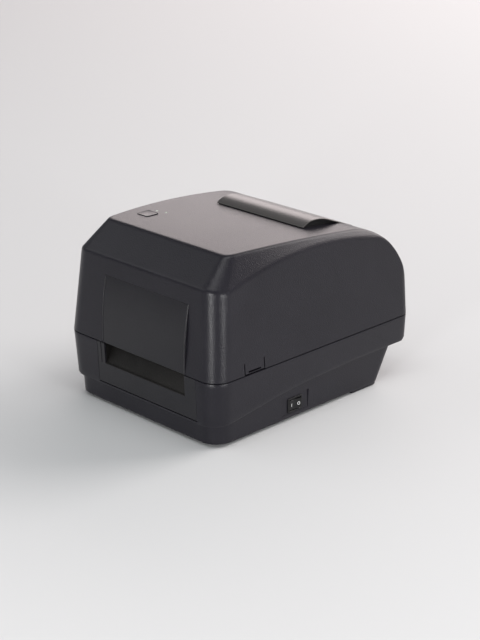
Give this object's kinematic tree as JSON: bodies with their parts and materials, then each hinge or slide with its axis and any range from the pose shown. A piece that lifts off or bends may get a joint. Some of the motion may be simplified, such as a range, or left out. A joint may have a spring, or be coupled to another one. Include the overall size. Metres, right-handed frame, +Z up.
{
  "type": "thermal transfer printer",
  "caption": "Desktop thermal transfer label printer with hinged cover, front label exit, roll holders, ribbon spindles, driven platen and sprung print head.",
  "frame": {"origin": "on the table, under the centre of the printer's overall box", "axes": "+Z up, +Y to the back, +X to the right of someone facing the label exit"},
  "size_m": [0.226, 0.3006, 0.1918],
  "materials": {
    "housing": "fine textured charcoal ABS",
    "panel": "darker textured ABS",
    "hood": "fine textured charcoal ABS",
    "tray": "plain ABS",
    "steel": "bright zinc-plated steel",
    "circuit": "green solder mask",
    "components": "moulded electronic parts",
    "gear": "natural acetal",
    "bushing": "natural acetal",
    "rubber": "ground platen rubber and foot rubber",
    "switch": "polished black nylon",
    "button": "fine textured ABS",
    "lens": "clear light guide",
    "aluminium": "extruded aluminium",
    "brass": "turned brass",
    "motor": "black motor case",
    "holder": "dark grey ABS"
  },
  "bodies": {
    "base": {"base_case": "housing", "exit_panel": "panel", "media_tray": "tray", "tear_bar": "steel", "platen_bushings": "bushing", "main_board": "circuit", "board_parts": "components", "usb_port": "steel", "power_jack": "switch", "rear_plate": "steel", "drive_motor": "motor", "gear_plate": "steel", "gear_cover": "tray", "switch_frame": "switch", "rubber_feet": "rubber", "case_screws": "steel", "latch_catches": "steel", "hinge_pins": "steel", "rack_guide": "tray", "sensor_rail": "steel"},
    "cover": {"top_cover": "housing", "front_insert": "panel", "roll_hood": "hood", "ribbon_frame": "steel", "frame_screws": "steel", "status_lens": "lens", "head_springs": "steel"},
    "feed_button": {"feed_button": "button"},
    "rocker": {"power_rocker": "switch"},
    "left_tab": {"latch_tab_left": "housing"},
    "right_tab": {"latch_tab_right": "housing"},
    "platen": {"platen_shaft": "steel", "platen_rubber": "rubber", "platen_gear": "gear"},
    "pinion": {"motor_pinion": "brass"},
    "idler": {"idler_gear": "gear"},
    "left_holder": {"roll_holder_left": "holder"},
    "right_holder": {"roll_holder_right": "holder"},
    "left_hub": {"roll_hub_left": "holder"},
    "right_hub": {"roll_hub_right": "holder"},
    "centring": {"centring_pinion": "gear"},
    "sensor": {"sensor_carriage": "components"},
    "head": {"head_carrier": "steel", "thermal_head": "aluminium"},
    "supply": {"supply_spindle": "holder"},
    "takeup": {"takeup_spindle": "holder"}
  },
  "joints": [
    {"name": "cover_hinge", "type": "hinge", "parent": "base", "child": "cover", "pos_m": [0, 0.1454, 0.072], "axis": [-1, 0, 0], "range_deg": [0, 90]},
    {"name": "feed_button_press", "type": "slide", "parent": "cover", "child": "feed_button", "axis": [0, 0, -1], "range_m": [0, 0.0015], "stiffness_N_per_m": 500},
    {"name": "power_rocker_tilt", "type": "hinge", "parent": "base", "child": "rocker", "pos_m": [0.1033, -0.0319, 0.017], "axis": [0, 0, 1], "range_deg": [0, 14]},
    {"name": "left_tab_squeeze", "type": "hinge", "parent": "cover", "child": "left_tab", "pos_m": [-0.1074, -0.0959, 0.0845], "axis": [0, -1, 0], "range_deg": [0, 6], "stiffness_Nm_per_rad": 0.6},
    {"name": "right_tab_squeeze", "type": "hinge", "parent": "cover", "child": "right_tab", "pos_m": [0.1074, -0.0959, 0.0845], "axis": [0, 1, 0], "range_deg": [0, 6], "stiffness_Nm_per_rad": 0.6},
    {"name": "platen_spin", "type": "hinge", "parent": "base", "child": "platen", "pos_m": [0.008, -0.1209, 0.064], "axis": [1, 0, 0], "continuous": true},
    {"name": "idler_spin", "type": "hinge", "parent": "base", "child": "idler", "pos_m": [-0.069, -0.09937, 0.04594], "axis": [1, 0, 0], "continuous": true},
    {"name": "pinion_spin", "type": "hinge", "parent": "base", "child": "pinion", "pos_m": [-0.069, -0.08346, 0.03003], "axis": [1, 0, 0], "continuous": true},
    {"name": "left_holder_slide", "type": "slide", "parent": "base", "child": "left_holder", "axis": [1, 0, 0], "range_m": [0, 0.04]},
    {"name": "right_holder_slide", "type": "slide", "parent": "base", "child": "right_holder", "axis": [-1, 0, 0], "range_m": [0, 0.04]},
    {"name": "centring_pinion_spin", "type": "hinge", "parent": "base", "child": "centring", "pos_m": [0.008, 0.0571, 0.02], "axis": [0, 0, -1], "range_deg": [0, 290]},
    {"name": "left_hub_spin", "type": "hinge", "parent": "left_holder", "child": "left_hub", "pos_m": [-0.053, 0.0571, 0.092], "axis": [1, 0, 0], "continuous": true},
    {"name": "right_hub_spin", "type": "hinge", "parent": "right_holder", "child": "right_hub", "pos_m": [0.069, 0.0571, 0.092], "axis": [1, 0, 0], "continuous": true},
    {"name": "sensor_slide", "type": "slide", "parent": "base", "child": "sensor", "axis": [1, 0, 0], "range_m": [-0.045, 0.045]},
    {"name": "head_lift", "type": "hinge", "parent": "cover", "child": "head", "pos_m": [0.008, -0.0909, 0.092], "axis": [-1, 0, 0], "range_deg": [0, 4], "stiffness_Nm_per_rad": 20, "deforming": ["head_springs"]},
    {"name": "supply_spin", "type": "hinge", "parent": "cover", "child": "supply", "pos_m": [0.008, -0.0409, 0.14], "axis": [1, 0, 0], "continuous": true},
    {"name": "takeup_spin", "type": "hinge", "parent": "cover", "child": "takeup", "pos_m": [0.008, -0.1049, 0.128], "axis": [1, 0, 0], "continuous": true}
  ],
  "couplings": [
    {"joint": "idler_spin", "follows": "platen_spin", "ratio": -0.75},
    {"joint": "pinion_spin", "follows": "platen_spin", "ratio": 1.875},
    {"joint": "right_holder_slide", "follows": "left_holder_slide", "ratio": 1},
    {"joint": "centring_pinion_spin", "follows": "left_holder_slide", "rad_per_m": 125}
  ]
}
